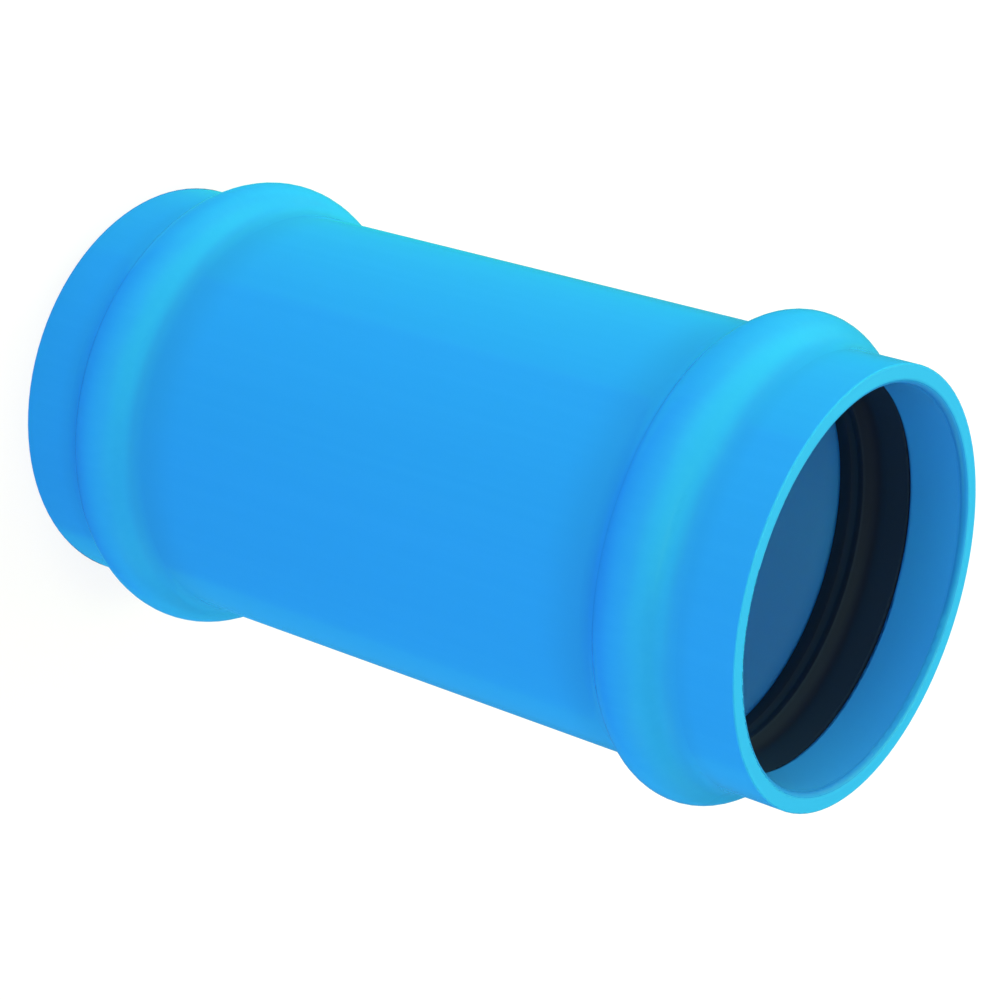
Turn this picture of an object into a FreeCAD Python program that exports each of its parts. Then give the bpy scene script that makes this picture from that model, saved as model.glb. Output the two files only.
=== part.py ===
import FreeCAD, Part
import math
import os

# Slip coupling for plastic pressure pipe: a moulded sleeve, open from end to end with no stop in
# the middle, and a rubber lip seal in the groove inside each of its two beads. It stands on its
# lower mouth. The origin is the centre of that mouth and +Z runs along the bore. Millimetres.
#
# Every outline is a list of corners, each a height from the lower mouth, a radius from the bore's
# axis and the rounding of that corner. Each piece is its outline turned once round the axis.

# The pipe and the bore that slips over it
pipe_radius = 55.0
slip_clearance = 0.65
wall = 5.85
sleeve_length = 250.0

# The mouth: a plain band, a touch slimmer than the barrel, between the bead and the end face
mouth_band_step = 0.25
mouth_lead_in_radius = 1.8
mouth_outer_edge_radius = 0.5

# The bead, formed outwards near each end
bead_centre = 32.2
bead_height = 7.2
bead_crown_radius = 10.8
bead_foot_radius = 8.0

# The seal groove inside the bead
groove_inset = 1.0
groove_step = 1.8
groove_front_edge_radius = 1.2
groove_back_edge_radius = 2.5
groove_floor_radius = 3.5
groove_corner_radius = 0.3

# The rubber seal, seated in the groove
seal_seat_gap = 0.15
seal_nose_radius = 0.8
land_recess = 0.6
land_length = 7.4
hollow_depth = 0.2
hollow_setback = 3.2
hollow_radius = 4.0
ridge_squeeze = 0.7
ridge_radius = 0.55
saddle_offset = 2.0
saddle_depth = 0.35
saddle_radius = 1.2
lip_offset = 4.1
lip_squeeze = 0.5
lip_radius = 0.9
lip_tip_offset = 8.7
lip_tip_rise = 0.6
lip_tip_radius = 0.3
cavity_offset = 1.4
cavity_depth = 3.6
cavity_floor_width = 1.6
cavity_radius = 0.35
heel_width = 1.35
heel_recess = 1.6
heel_radius = 0.3

# Two corners or arc ends nearer than this are one point
same_point = 1e-6


def meet(point_a, angle_a, point_b, angle_b):
    # Where two straight lines cross, each given by a point and its slope angle
    along_a = (math.cos(angle_a), math.sin(angle_a))
    along_b = (math.cos(angle_b), math.sin(angle_b))
    gap = (point_b[0] - point_a[0], point_b[1] - point_a[1])
    turn = along_a[0] * along_b[1] - along_a[1] * along_b[0]
    reach = (gap[0] * along_b[1] - gap[1] * along_b[0]) / turn
    return (point_a[0] + reach * along_a[0], point_a[1] + reach * along_a[1])


def round_corner(before, here, after, radius):
    # Start, middle and end of the arc that rounds one corner, tangent to both of its sides
    back = (before - here).normalize()
    ahead = (after - here).normalize()
    half_angle = back.getAngle(ahead) / 2
    trim = radius / math.tan(half_angle)
    middle_line = (back + ahead).normalize()
    centre = here + middle_line * (radius / math.sin(half_angle))
    return here + back * trim, centre - middle_line * radius, here + ahead * trim


def turned(corners):
    # Rounds the corners of a closed outline and turns it once round the bore's axis
    points = [FreeCAD.Vector(r, 0, z) for z, r, radius in corners]
    radii = [radius for z, r, radius in corners]
    points_before = points[-1:] + points[:-1]
    points_after = points[1:] + points[:1]
    arcs = [round_corner(*sides) for sides in zip(points_before, points, points_after, radii)]
    edges = []
    for (start, middle, end), (next_start, _, _) in zip(arcs, arcs[1:] + arcs[:1]):
        edges.append(Part.Arc(start, middle, end).toShape())
        if end.distanceToPoint(next_start) > same_point:
            edges.append(Part.LineSegment(end, next_start).toShape())
    face = Part.Face(Part.Wire(edges))
    return face.revolve(FreeCAD.Vector(0, 0, 0), FreeCAD.Vector(0, 0, 1), 360)


def from_other_end(corners):
    # The same corners, met in the opposite order, at the top mouth
    return [(sleeve_length - z, r, radius) for z, r, radius in reversed(corners)]


# Sizes worked out from the ones above
bore_radius = pipe_radius + slip_clearance
barrel_radius = bore_radius + wall
band_radius = barrel_radius - mouth_band_step
groove_floor = bore_radius + groove_step
crown_centre = (bead_centre, barrel_radius + bead_height - bead_crown_radius)

# The bead's crown and foot are arcs that meet on a flank, which sets the flank's angle
arc_sum = bead_crown_radius + bead_foot_radius
front_angle = math.acos(1 - (bead_height + mouth_band_step) / arc_sum)
back_angle = math.acos(1 - bead_height / arc_sum)
groove_front = bead_centre - arc_sum * math.sin(front_angle) + groove_inset


def flank_point(crown_radius, side, angle):
    # A flank leaves the crown's arc here; side is -1 towards the mouth and 1 away from it
    z = crown_centre[0] + side * crown_radius * math.sin(angle)
    r = crown_centre[1] + crown_radius * math.cos(angle)
    return (z, r)


def ring_corners(crown_radius, front_base, back_base):
    # Front foot, apex and back foot of an outline that runs parallel to the bead
    front = flank_point(crown_radius, -1, front_angle)
    back = flank_point(crown_radius, 1, back_angle)
    front_foot = meet(front, front_angle, (0, front_base), 0)
    apex = meet(front, front_angle, back, -back_angle)
    back_foot = meet(back, -back_angle, (0, back_base), 0)
    return front_foot, apex, back_foot


def coupling_sleeve():
    front_foot, apex, back_foot = ring_corners(bead_crown_radius, band_radius, barrel_radius)
    outside = [
        (0, band_radius, mouth_outer_edge_radius),
        (*front_foot, bead_foot_radius),
        (*apex, bead_crown_radius),
        (*back_foot, bead_foot_radius),
    ]
    groove_crown = bead_crown_radius - wall
    front_foot, apex, back_foot = ring_corners(groove_crown, groove_floor, bore_radius)
    inside = [
        (0, bore_radius, mouth_lead_in_radius),
        (groove_front, bore_radius, groove_front_edge_radius),
        (groove_front, groove_floor, groove_corner_radius),
        (*front_foot, groove_floor_radius),
        (*apex, groove_crown),
        (*back_foot, groove_back_edge_radius),
    ]
    up_the_outside = outside + from_other_end(outside)
    down_the_inside = inside + from_other_end(inside)
    return turned(up_the_outside + down_the_inside[::-1])


def seal_outline():
    # The outside follows the groove, one seat gap clear of it
    seal_crown = bead_crown_radius - wall - seal_seat_gap
    nose = groove_front + seal_seat_gap
    land = bore_radius + land_recess
    heel = bore_radius + heel_recess
    front_foot, apex, heel_back = ring_corners(seal_crown, groove_floor - seal_seat_gap, heel)
    seat = [
        (nose, land, seal_nose_radius),
        (nose, groove_floor - seal_seat_gap, groove_corner_radius - seal_seat_gap),
        (*front_foot, groove_floor_radius + seal_seat_gap),
        (*apex, seal_crown),
        (*heel_back, heel_radius),
    ]
    # From the heel back to the nose: cavity, sealing lip, saddle, ridge, hollow and land
    lip = pipe_radius - lip_squeeze
    ridge = pipe_radius - ridge_squeeze
    cavity_z = bead_centre + cavity_offset
    cavity_floor = bore_radius + cavity_depth
    running_side = [
        (heel_back[0] - heel_width, heel, heel_radius),
        (cavity_z + cavity_floor_width, cavity_floor, cavity_radius),
        (cavity_z, cavity_floor, cavity_radius),
        (bead_centre + lip_tip_offset, lip + lip_tip_rise, lip_tip_radius),
        (bead_centre + lip_offset, lip, lip_radius),
        (bead_centre + saddle_offset, lip + saddle_depth, saddle_radius),
        (bead_centre, ridge, ridge_radius),
        (bead_centre - hollow_setback, land + hollow_depth, hollow_radius),
        (nose + land_length, land, hollow_radius),
    ]
    return seat + running_side


os.makedirs("parts", exist_ok=True)
lower_seal = seal_outline()
pieces = {
    "coupling_sleeve": coupling_sleeve(),
    "lower_seal_ring": turned(lower_seal),
    "upper_seal_ring": turned(from_other_end(lower_seal)),
}
for name, shape in pieces.items():
    shape.exportStep("parts/" + name + ".step")
    print(name, "valid" if shape.isValid() else "NOT VALID", len(shape.Solids), "solid",
          round(shape.Volume / 1000, 2), "cm3")
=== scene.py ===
import math

import bpy
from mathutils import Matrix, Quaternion, Vector


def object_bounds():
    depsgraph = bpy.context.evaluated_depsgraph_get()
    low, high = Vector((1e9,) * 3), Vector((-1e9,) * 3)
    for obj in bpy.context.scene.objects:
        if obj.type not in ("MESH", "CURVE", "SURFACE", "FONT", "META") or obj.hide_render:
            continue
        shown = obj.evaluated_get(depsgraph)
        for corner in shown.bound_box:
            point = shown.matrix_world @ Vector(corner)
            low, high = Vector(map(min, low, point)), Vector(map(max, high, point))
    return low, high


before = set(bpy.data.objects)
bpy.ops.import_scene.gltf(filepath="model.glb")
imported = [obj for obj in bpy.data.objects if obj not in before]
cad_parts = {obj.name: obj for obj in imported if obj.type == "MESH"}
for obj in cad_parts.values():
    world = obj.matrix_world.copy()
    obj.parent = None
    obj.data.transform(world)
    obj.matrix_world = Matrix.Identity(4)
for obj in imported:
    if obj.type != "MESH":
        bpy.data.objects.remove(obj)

# metres throughout, heights above the lower mouth, colours linear
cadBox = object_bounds()  # the solids' box
sleeveLength = cadBox[1][2] - cadBox[0][2]
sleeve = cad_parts["coupling_sleeve"]
seals = [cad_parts["lower_seal_ring"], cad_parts["upper_seal_ring"]]
scene = bpy.context.scene
black = (0.0, 0.0, 0.0, 1.0)
white = (1.0, 1.0, 1.0, 1.0)
print("model loaded:", len(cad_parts), "pieces")


class Wire:
    # one output socket, so that shader maths reads as plain sums
    def __init__(self, graph, socket):
        self.graph = graph
        self.socket = socket

    def __add__(self, other):
        return self.graph.maths("ADD", self, other)

    def __radd__(self, other):
        return self.graph.maths("ADD", other, self)

    def __sub__(self, other):
        return self.graph.maths("SUBTRACT", self, other)

    def __rsub__(self, other):
        return self.graph.maths("SUBTRACT", other, self)

    def __mul__(self, other):
        return self.graph.maths("MULTIPLY", self, other)

    def __rmul__(self, other):
        return self.graph.maths("MULTIPLY", other, self)

    def __truediv__(self, other):
        return self.graph.maths("DIVIDE", self, other)

    def __pow__(self, other):
        return self.graph.maths("POWER", self, other)

    def __gt__(self, other):
        return self.graph.maths("GREATER_THAN", self, other)


class Graph:
    # the node tree of one material or of the world
    def __init__(self, owner):
        owner.use_nodes = True
        self.tree = owner.node_tree
        self.tree.nodes.clear()

    def node(self, kind, settings=None, values=None, out=0):
        # settings go in first, then the sockets' values or links; out picks what comes back
        made = self.tree.nodes.new(kind)
        for key, value in (settings or {}).items():
            if key == "stops":
                self.setStops(made.color_ramp, value)
            else:
                setattr(made, key, value)
        for key, value in (values or {}).items():
            if isinstance(value, Wire):
                self.tree.links.new(value.socket, made.inputs[key])
            else:
                made.inputs[key].default_value = value
        if not made.outputs:
            return None
        if isinstance(out, tuple):
            return [Wire(self, made.outputs[name]) for name in out]
        return Wire(self, made.outputs[out])

    def setStops(self, ramp, stops):
        while len(ramp.elements) < len(stops):
            ramp.elements.new(1.0)
        for element, (position, colour) in zip(ramp.elements, stops):
            element.position = position
            element.color = colour

    def maths(self, operation, *values):
        return self.node("ShaderNodeMath", {"operation": operation}, dict(enumerate(values)))

    def blend(self, factor, first, second):
        # colours: first where the factor is 0, second where it is 1
        return self.node("ShaderNodeMix", {"data_type": "RGBA"},
                         {0: factor, 6: first, 7: second}, out=2)

    def mixShaders(self, factor, first, second):
        return self.node("ShaderNodeMixShader", {}, {0: factor, 1: first, 2: second})

    def between(self, value, low, high, start=0.0, end=1.0):
        # goes smoothly from start at low to end at high
        return self.node("ShaderNodeMapRange", {"interpolation_type": "SMOOTHSTEP"},
                         {0: value, 1: low, 2: high, 3: start, 4: end})

    def plateau(self, value, rise, high, stay, gone):
        # 0, then 1 from high to stay, then 0 again
        return self.between(value, rise, high) * self.between(value, stay, gone, 1.0, 0.0)

    def noise(self, place, scale, detail, roughness):
        values = {"Vector": place, "Scale": scale, "Detail": detail, "Roughness": roughness}
        return self.node("ShaderNodeTexNoise", {}, values)

    def swing(self, noise, share):
        # a noise runs from 0 to 1, so this runs evenly to both sides of 0
        return (noise - 0.5) * share

    def stretch(self, place, factors):
        return self.node("ShaderNodeVectorMath", {"operation": "MULTIPLY"}, {0: place, 1: factors})

    def ownPlace(self):
        # the place on the piece, whole and as x, y and z
        place = self.node("ShaderNodeTexCoord", out="Object")
        return place, *self.node("ShaderNodeSeparateXYZ", {}, {0: place}, out=("X", "Y", "Z"))

    def fromAxis(self, x, y):
        return (x * x + y * y) ** 0.5

    def toMouth(self, height):
        # distance from the nearer mouth
        return self.maths("MINIMUM", height, sleeveLength - height)

    def rayIs(self, *kinds):
        # 1 for rays of the named kinds
        wires = self.node("ShaderNodeLightPath", out=kinds)
        return self.maths("MINIMUM", sum(wires[1:], wires[0]), 1.0)

    def surface(self, colour, roughness, height, fixed):
        # a plastic or rubber surface; height is in metres, and fixed holds what never varies
        normal = self.node("ShaderNodeBump", {},
                           {"Strength": 1.0, "Distance": 1.0, "Height": height})
        varied = {"Base Color": colour, "Roughness": roughness, "Normal": normal}
        shader = self.node("ShaderNodeBsdfPrincipled", {}, varied | fixed)
        self.node("ShaderNodeOutputMaterial", {}, {"Surface": shader})


# The sleeve is extruded as pipe, sawn to length, and its beads are formed while it is hot
sleeveSettings = {
    "blue": (0.0226, 0.321, 0.742, 1.0),
    "streakBlue": (0.0240, 0.328, 0.749, 1.0),
    "footShadeBlue": (0.0226, 0.295, 0.665, 1.0),     # painted shade, a deeper blue in the beads' feet
    "sawnBlue": (0.026, 0.316, 0.835, 1.0),
    "boreShadeBlue": (0.030, 0.284, 0.81, 1.0),       # painted shade, darker inside the bore
    "deepBoreLightBlue": (0.085, 0.350, 0.89, 1.0),      # painted light, paler deep in the bore
    "leadInShadeBlue": (0.013, 0.168, 0.63, 1.0),     # painted shade, darker on the lead-in
    # radii between which a finish ends
    "boreEdge": (0.0558, 0.0572),
    "leadInEdge": (0.0562, 0.0575),
    # distances from the nearer mouth
    "leadInDepth": (0.0015, 0.0024),             # the lead-in ends between these
    "deepBoreLightEdge": (0.036, 0.046),                 # the painted light sets in between these
    "innerFootShade": (0.041, 0.0445, 0.046, 0.062),  # deeper blue from 1st to 4th, full from 2nd to 3rd
    "outerFootShade": (0.012, 0.017, 0.0195, 0.0225),
    "outerFootShadeShare": 0.45,
    "sawnFacing": (0.9, 0.985),                  # how squarely a sawn face looks along the bore
    "roughness": 0.08,
    "boreRoughness": 0.26,
    "sawnRoughness": 0.34,
    "leadInExtra": 0.15,                         # this and the next two add to the roughness
    "streakExtra": 0.04,
    "grainExtra": 0.02,
    "ior": 1.53,
    "specular": 1.0,
    "specularTint": (0.08, 1.0, 0.10, 1.0),
    # noises: scale, detail, roughness
    "streakNoise": (420.0, 3.0, 0.6),
    "streakStretch": (1.0, 1.0, 0.012),          # drawn out along the bore
    "streakContrast": (0.35, 0.75),
    "streakDepth": 0.0000012,
    "rippleNoise": (38.0, 2.0, 0.5),
    "rippleDepth": 0.00001,
    "grainNoise": (2600.0, 2.0, 0.5),
    "grainDepth": 0.0000006,
    "sawPitch": 0.00042,
    "sawDepth": 0.000004,
}


def sleevePlastic(settings):
    material = bpy.data.materials.new("sleevePlastic")
    graph = Graph(material)
    place, x, y, height = graph.ownPlace()
    radius = graph.fromAxis(x, y)
    normal = graph.node("ShaderNodeTexCoord", out="Normal")
    facing = graph.node("ShaderNodeSeparateXYZ", {}, {0: normal}, out="Z")
    toMouth = graph.toMouth(height)
    leadIn = graph.between(radius, *settings["leadInEdge"], 1.0, 0.0)
    leadIn = leadIn * graph.between(toMouth, *settings["leadInDepth"], 1.0, 0.0)
    sawn = graph.between(graph.maths("ABSOLUTE", facing), *settings["sawnFacing"])
    inBore = graph.between(radius, *settings["boreEdge"], 1.0, 0.0)

    drawn = graph.stretch(place, settings["streakStretch"])
    streaks = graph.noise(drawn, *settings["streakNoise"])
    ripple = graph.noise(place, *settings["rippleNoise"])
    grain = graph.noise(place, *settings["grainNoise"])
    sawMarks = graph.maths("SINE", radius * (2 * math.pi / settings["sawPitch"]))

    streaked = graph.between(streaks, *settings["streakContrast"])
    colour = graph.blend(streaked, settings["blue"], settings["streakBlue"])
    # painted shade: a deeper blue in the concave feet of the beads
    footShade = graph.plateau(toMouth, *settings["innerFootShade"])
    footShade = footShade + graph.plateau(toMouth, *settings["outerFootShade"]) * settings["outerFootShadeShare"]
    colour = graph.blend(footShade, colour, settings["footShadeBlue"])
    colour = graph.blend(sawn, colour, settings["sawnBlue"])
    # painted light: the bore turns paler deep inside
    bloom = graph.between(toMouth, *settings["deepBoreLightEdge"])
    boreColour = graph.blend(bloom, settings["boreShadeBlue"], settings["deepBoreLightBlue"])
    # painted shade inside the bore, with painted light deep in it
    colour = graph.blend(inBore, colour, boreColour)
    # painted shade: the lead-in at the mouth's inner edge is darker
    colour = graph.blend(leadIn, colour, settings["leadInShadeBlue"])

    roughness = settings["roughness"] + graph.swing(streaks, settings["streakExtra"])
    roughness = roughness + graph.swing(grain, settings["grainExtra"])
    roughness = roughness + inBore * (settings["boreRoughness"] - settings["roughness"])
    roughness = roughness + sawn * (settings["sawnRoughness"] - settings["roughness"])
    roughness = roughness + leadIn * settings["leadInExtra"]

    waves = streaks * settings["streakDepth"] + ripple * settings["rippleDepth"]
    depth = waves * (1 - sawn) + sawMarks * sawn * settings["sawDepth"]
    depth = depth + grain * settings["grainDepth"]
    graph.surface(colour, roughness, depth, {
        "IOR": settings["ior"],
        "Specular IOR Level": settings["specular"],
        "Specular Tint": settings["specularTint"],
    })
    return material


# The seals are pressed in two-part moulds
sealSettings = {
    "black": (0.011, 0.024, 0.052, 1.0),
    "ridgeSheenAndWear": (0.018, 0.024, 0.044, 1.0),            # painted highlight, a faint brown along the ridge, and real wear in patches
    "slopeShade": (0.012, 0.016, 0.034, 1.0),            # painted shade, deeper black on the slope in front of the ridge
    "slopeShadeBand": (0.0262, 0.0285, 0.0314, 0.0321),  # where it is, from the nearer mouth
    "ridgeEdge": (0.0544, 0.0548),                   # radii between which the ridge ends
    "ridgeSheen": 0.8,
    "patchWear": 0.3,
    "patchEdge": (0.55, 0.85),                       # worn patches lie where the bloom passes these
    "roughness": 0.5,
    "bloomExtra": 0.14,                              # added to the roughness
    "ridgePolish": 0.06,                             # taken off it
    "ior": 1.5,
    "specular": 0.12,
    # noises: scale, detail, roughness
    "bloomNoise": (90.0, 3.0, 0.5),
    "pimpleNoise": (1500.0, 2.0, 0.5),
    "pimpleDepth": 0.000010,
    "turnedNoise": (2400.0, 2.0, 0.5),
    "turnedStretch": (0.02, 0.02, 1.0),              # drawn out round the ring
    "turnedDepth": 0.000008,
}


def sealRubber(settings):
    material = bpy.data.materials.new("sealRubber")
    graph = Graph(material)
    place, x, y, height = graph.ownPlace()
    bloom = graph.noise(place, *settings["bloomNoise"])
    pimples = graph.noise(place, *settings["pimpleNoise"])
    turned = graph.noise(graph.stretch(place, settings["turnedStretch"]), *settings["turnedNoise"])
    ridge = graph.between(graph.fromAxis(x, y), *settings["ridgeEdge"], 1.0, 0.0)

    patches = graph.between(bloom, *settings["patchEdge"]) * settings["patchWear"]
    # painted highlight along the ridge, together with real worn patches
    ridgeSheenAndWear = graph.maths("MAXIMUM", ridge * settings["ridgeSheen"], patches)
    # painted shade on the slope in front of the ridge
    slopeShade = graph.plateau(graph.toMouth(height), *settings["slopeShadeBand"])
    colour = graph.blend(ridgeSheenAndWear, settings["black"], settings["ridgeSheenAndWear"])
    colour = graph.blend(slopeShade, colour, settings["slopeShade"])
    roughness = settings["roughness"] + graph.swing(bloom, settings["bloomExtra"])
    roughness = roughness - ridge * settings["ridgePolish"]
    depth = pimples * settings["pimpleDepth"] + turned * settings["turnedDepth"]
    graph.surface(colour, roughness, depth, {
        "IOR": settings["ior"],
        "Specular IOR Level": settings["specular"],
    })
    return material


def dress(piece, material):
    for slot in piece.material_slots:
        slot.material = material


dress(sleeve, sleevePlastic(sleeveSettings))
rubber = sealRubber(sealSettings)
for seal in seals:
    dress(seal, rubber)
print("sleeve and seals have their finishes")


# The camera looks down on the near mouth, rolled so that the bore lies across the frame
cameraSettings = {
    "place": (0.0, -0.65648, 0.57579),
    "aim": (0.00519, 0.00619, 0.12764),
    "roll": 107.128,     # degrees, against an upright camera
    "lens": 99.58,       # millimetres, on a sensor this wide
    "sensor": 36.0,
    "nearest": 0.01,
}


def makeCamera(settings):
    data = bpy.data.cameras.new("studioCamera")
    data.lens = settings["lens"]
    data.sensor_width = settings["sensor"]
    data.clip_start = settings["nearest"]
    camera = bpy.data.objects.new("studioCamera", data)
    scene.collection.objects.link(camera)
    camera.location = settings["place"]
    look = Vector(settings["aim"]) - Vector(settings["place"])
    roll = Quaternion((0.0, 0.0, 1.0), math.radians(settings["roll"]))
    camera.rotation_euler = (look.to_track_quat("-Z", "Y") @ roll).to_euler()
    scene.camera = camera


makeCamera(cameraSettings)
print("camera stands at the photograph's angle")


# The world lights the object dimly and is plain white to the eye and in the gloss
worldSettings = {"level": 0.25, "seenLevel": 1.0}


def makeWorld(settings):
    world = bpy.data.worlds.new("studioWorld")
    scene.world = world
    graph = Graph(world)
    dim = graph.node("ShaderNodeBackground", {}, {"Color": white, "Strength": settings["level"]})
    bright = graph.node("ShaderNodeBackground", {},
                        {"Color": white, "Strength": settings["seenLevel"]})
    seen = graph.rayIs("Is Camera Ray", "Is Glossy Ray", "Is Transmission Ray")
    graph.node("ShaderNodeOutputWorld", {}, {"Surface": graph.mixShaders(seen, dim, bright)})


def stagePiece(name, vertices, faces):
    mesh = bpy.data.meshes.new(name)
    mesh.from_pydata(vertices, [], faces)
    piece = bpy.data.objects.new(name, mesh)
    scene.collection.objects.link(piece)
    return piece


floorSettings = {
    "reach": 6.0,
    "paint": (0.26, 0.26, 0.86, 1.0),       # what the floor throws back on the plastic
    "seenPaint": (0.6, 0.6, 0.6, 1.0),      # what the camera sees, with the object's shadow on it
    "glow": 0.72,                           # share of the seen floor that is plain white
    "farGlow": (0.5, 1.4),                  # distances between which that share grows to all of it
    "glowLevel": 1.15,
    "reflectedLevel": 1.0,
}


def makeFloor(settings):
    half = settings["reach"]
    corners = [(-half, -half, 0), (half, -half, 0), (half, half, 0), (-half, half, 0)]
    floor = stagePiece("studioFloor", corners, [(0, 1, 2, 3)])
    material = bpy.data.materials.new("floorPaint")
    graph = Graph(material)
    toCamera = graph.rayIs("Is Camera Ray")
    colour = graph.blend(toCamera, settings["paint"], settings["seenPaint"])
    paint = graph.node("ShaderNodeBsdfDiffuse", {}, {"Color": colour})
    glow = graph.node("ShaderNodeEmission", {}, {"Strength": settings["glowLevel"]})
    mirrored = graph.node("ShaderNodeEmission", {}, {"Strength": settings["reflectedLevel"]})
    _, x, y, _ = graph.ownPlace()
    share = graph.between(graph.fromAxis(x, y), *settings["farGlow"], settings["glow"], 1.0)
    seen = graph.mixShaders(toCamera * share, paint, glow)
    reflected = graph.rayIs("Is Glossy Ray", "Is Transmission Ray")
    both = graph.mixShaders(reflected, seen, mirrored)
    graph.node("ShaderNodeOutputMaterial", {}, {"Surface": both})
    floor.data.materials.append(material)


# The sweep is a round floor and wall that only the gloss sees: it sets the tones mirrored in the
# plastic, by the angle round the barrel, where 0 is the camera's side and 90 is -X
sweepSettings = {
    "outer": 3.0,                    # its radius
    "height": 6.0,
    "lift": 0.0003,                  # keeps it clear of the studio floor
    "steps": 180,
    "barrel": 0.0615,                # the barrel's radius
    "leftEdge": 31.0,                # angles where the sweep's two edges show on the barrel
    "rightEdge": -59.0,
    "edgeBlur": 0.004,
    "fade": (0.35, 1.6, 0.45),       # the floor darkens between these distances, by this share
    "wallClimb": (0.2, 2.0),         # heights between which the wall brightens
    "wallLow": (0.02, 0.30, 0.24, 1.0),
    "wallHigh": (0.05, 0.75, 0.60, 1.0),
    "wallShare": [                   # how much of the wall's tone is there
        (-180, 0.35),
        (-60, 0.35),
        (0, 1.0),
        (130, 1.0),
        (160, 0.45),
        (180, 0.35),
    ],
    # the floor's tones beyond the two edges, and before them on the camera's side
    "beyondEdges": [
        (-180, (0.04, 0.30, 0.60)),
        (-150, (0.05, 0.32, 0.60)),
        (-128, (0.05, 0.41, 0.80)),
        (60, (0.06, 0.69, 0.72)),
        (80, (0.05, 0.76, 0.74)),
        (96, (0.05, 0.74, 0.68)),
        (136, (0.03, 0.64, 0.66)),
        (150, (0.05, 0.52, 0.50)),
        (180, (0.04, 0.30, 0.60)),
    ],
    "beforeEdges": [
        (-112, (0.03, 0.31, 0.82)),
        (-88, (0.03, 0.28, 0.85)),
        (-36, (0.04, 0.27, 0.66)),
        (-8, (0.04, 0.42, 0.78)),
        (20, (0.04, 0.45, 0.82)),
        (36, (0.03, 0.46, 0.82)),
        (56, (0.03, 0.39, 0.60)),
    ],
}


def turnedShape(profile, steps):
    # vertices and faces of a list of (radius, height), turned round the axis
    vertices = []
    faces = []
    count = len(profile)
    for i in range(steps):
        turn = 2 * math.pi * i / steps
        vertices += [(r * math.cos(turn), r * math.sin(turn), z) for r, z in profile]
        near, far = i * count, (i + 1) % steps * count
        faces += [(near + j, near + j + 1, far + j + 1, far + j) for j in range(count - 1)]
    return vertices, faces


def toneRamp(graph, turn, tones):
    stops = [(angle / 360 + 0.5, (*tone, 1.0)) for angle, tone in tones]
    return graph.node("ShaderNodeValToRGB", {"stops": stops}, {0: turn / (2 * math.pi) + 0.5})


def beyondEdge(graph, x, y, degrees, settings):
    # 1 behind the line on the floor that is mirrored along one line of the barrel, as seen from
    # the camera's place in the photograph
    angle = math.radians(degrees)
    facing = Vector((-math.sin(angle), -math.cos(angle)))
    foot = facing * settings["barrel"]
    view = (foot - Vector(cameraSettings["place"][:2])).normalized()
    along = view.reflect(facing)
    across = Vector((along.y, -along.x)) * (1 if degrees > 0 else -1)
    distance = (x - foot.x) * across.x + (y - foot.y) * across.y
    halfBlur = settings["edgeBlur"] / 2
    return graph.between(distance, -halfBlur, halfBlur)


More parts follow.
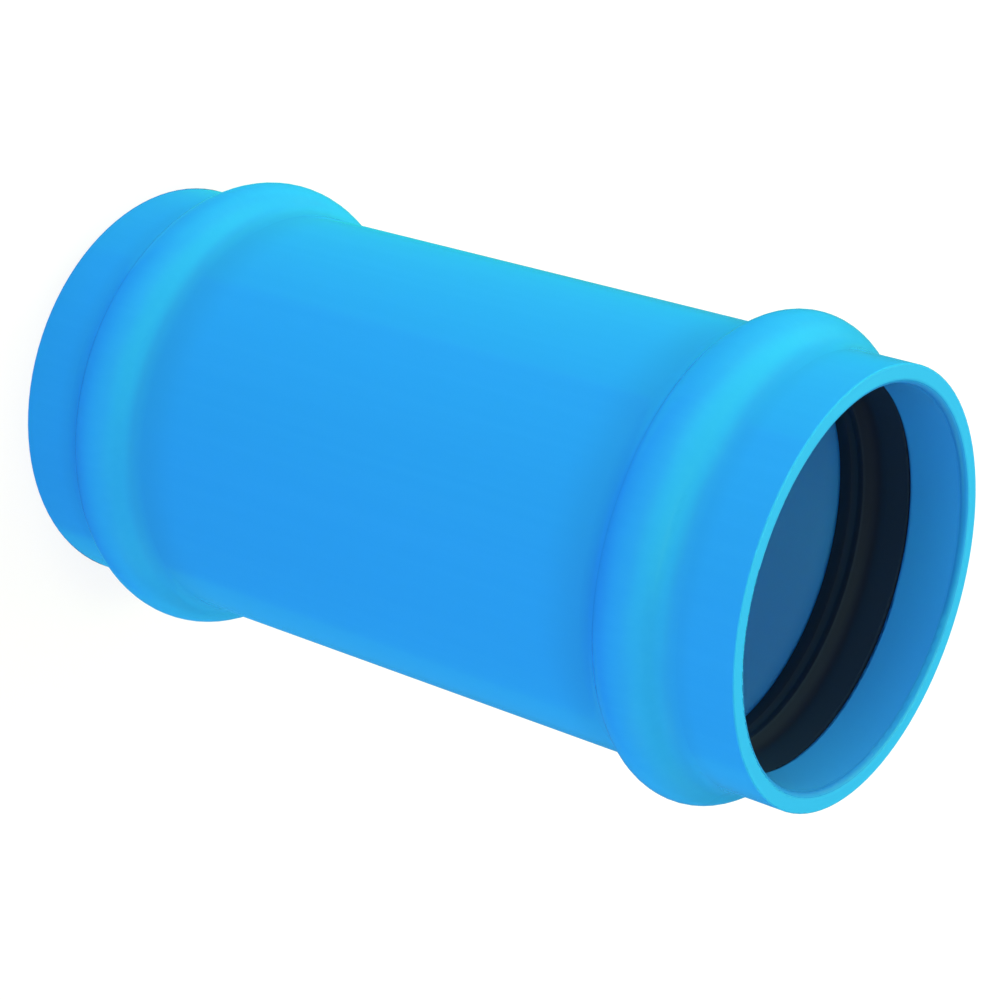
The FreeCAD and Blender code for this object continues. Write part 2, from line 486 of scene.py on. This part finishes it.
def makeSweep(settings):
    outer, lift = settings["outer"], settings["lift"]
    profile = [(0.0, lift), (outer, lift), (outer, settings["height"])]
    sweep = stagePiece("glossSweep", *turnedShape(profile, settings["steps"]))
    sweep.visible_camera = False
    sweep.visible_diffuse = False
    sweep.visible_shadow = False
    sweep.visible_transmission = False
    material = bpy.data.materials.new("sweepTone")
    graph = Graph(material)
    _, x, y, z = graph.ownPlace()
    turn = graph.maths("ARCTAN2", -1 * x, -1 * y)
    left = beyondEdge(graph, x, y, settings["leftEdge"], settings)
    right = beyondEdge(graph, x, y, settings["rightEdge"], settings)
    onRight = x > 0.0
    beyond = left + (right - left) * onRight
    floorTone = graph.blend(beyond, toneRamp(graph, turn, settings["beforeEdges"]),
                            toneRamp(graph, turn, settings["beyondEdges"]))
    reach = graph.fromAxis(x, y)
    nearest, farthest, share = settings["fade"]
    lit = (reach > settings["barrel"]) * graph.between(reach, nearest, farthest, 1.0, 1 - share)
    floorTone = graph.blend(lit, black, floorTone)     # black inside the bore
    climb = graph.between(z, *settings["wallClimb"])
    wallTone = graph.blend(climb, settings["wallLow"], settings["wallHigh"])
    wallShare = [(angle, (share, share, share)) for angle, share in settings["wallShare"]]
    wallTone = graph.blend(toneRamp(graph, turn, wallShare), black, wallTone)
    onWall = z > lift * 2
    tone = graph.blend(onWall, floorTone, wallTone)
    glow = graph.node("ShaderNodeEmission", {}, {"Color": tone, "Strength": 1.0})
    graph.node("ShaderNodeOutputMaterial", {}, {"Surface": glow})
    sweep.data.materials.append(material)


# Softboxes on a ring: turn is 0 on the camera's side and 90 at -X, climb is above the floor
sunny = (0.84, 1.0, 0.47)
warm = (1.0, 1.0, 0.60)
mild = (1.0, 1.0, 0.66)
plain = (1.0, 1.0, 0.84)
cool = (0.87, 0.87, 1.0)
lampSettings = {
    "radius": 1.8,
    "centre": (0.0, 0.0, 0.1),
    "target": (0.0, 0.0, 0.12),
    "softboxes": {
        # name: (turn, climb, size, watts, colour)
        "backLeftHigh": (135, 65, 1.3, 29.8, sunny),
        "backLeftMiddle": (135, 42, 1.3, 8.2, sunny),
        "frontHigh": (0, 65, 1.3, 14.9, warm),
        "leftLow": (90, 12, 0.9, 11.9, mild),
        "backLeftLow": (135, 12, 0.9, 12.8, mild),
        "backRightLow": (225, 12, 0.9, 11.6, warm),
        "rightLow": (270, 12, 0.9, 13.9, plain),
        "frontLeftLow": (45, 12, 0.9, 11.6, plain),
        "frontRightLow": (315, 12, 0.9, 6.55, cool),
        "frontLow": (0, 12, 0.9, 5.75, cool),
    },
}


def ringPlace(turn, climb, settings):
    turn, climb = math.radians(turn), math.radians(climb)
    level = math.cos(climb)
    away = Vector((-math.sin(turn) * level, -math.cos(turn) * level, math.sin(climb)))
    return Vector(settings["centre"]) + away * settings["radius"]


def makeLamps(settings):
    for name, (turn, climb, size, watts, colour) in settings["softboxes"].items():
        light = bpy.data.lights.new(name, "AREA")
        light.size = size
        light.energy = watts
        light.color = colour
        lamp = bpy.data.objects.new(name, light)
        scene.collection.objects.link(lamp)
        place = ringPlace(turn, climb, settings)
        lamp.location = place
        look = Vector(settings["target"]) - place
        lamp.rotation_euler = look.to_track_quat("-Z", "Y").to_euler()
        lamp.visible_glossy = False     # the sweep alone sets what the gloss shows


makeWorld(worldSettings)
makeFloor(floorSettings)
makeSweep(sweepSettings)
makeLamps(lampSettings)
scene.view_settings.view_transform = "Standard"
print("studio is set:", len(lampSettings["softboxes"]), "softboxes")
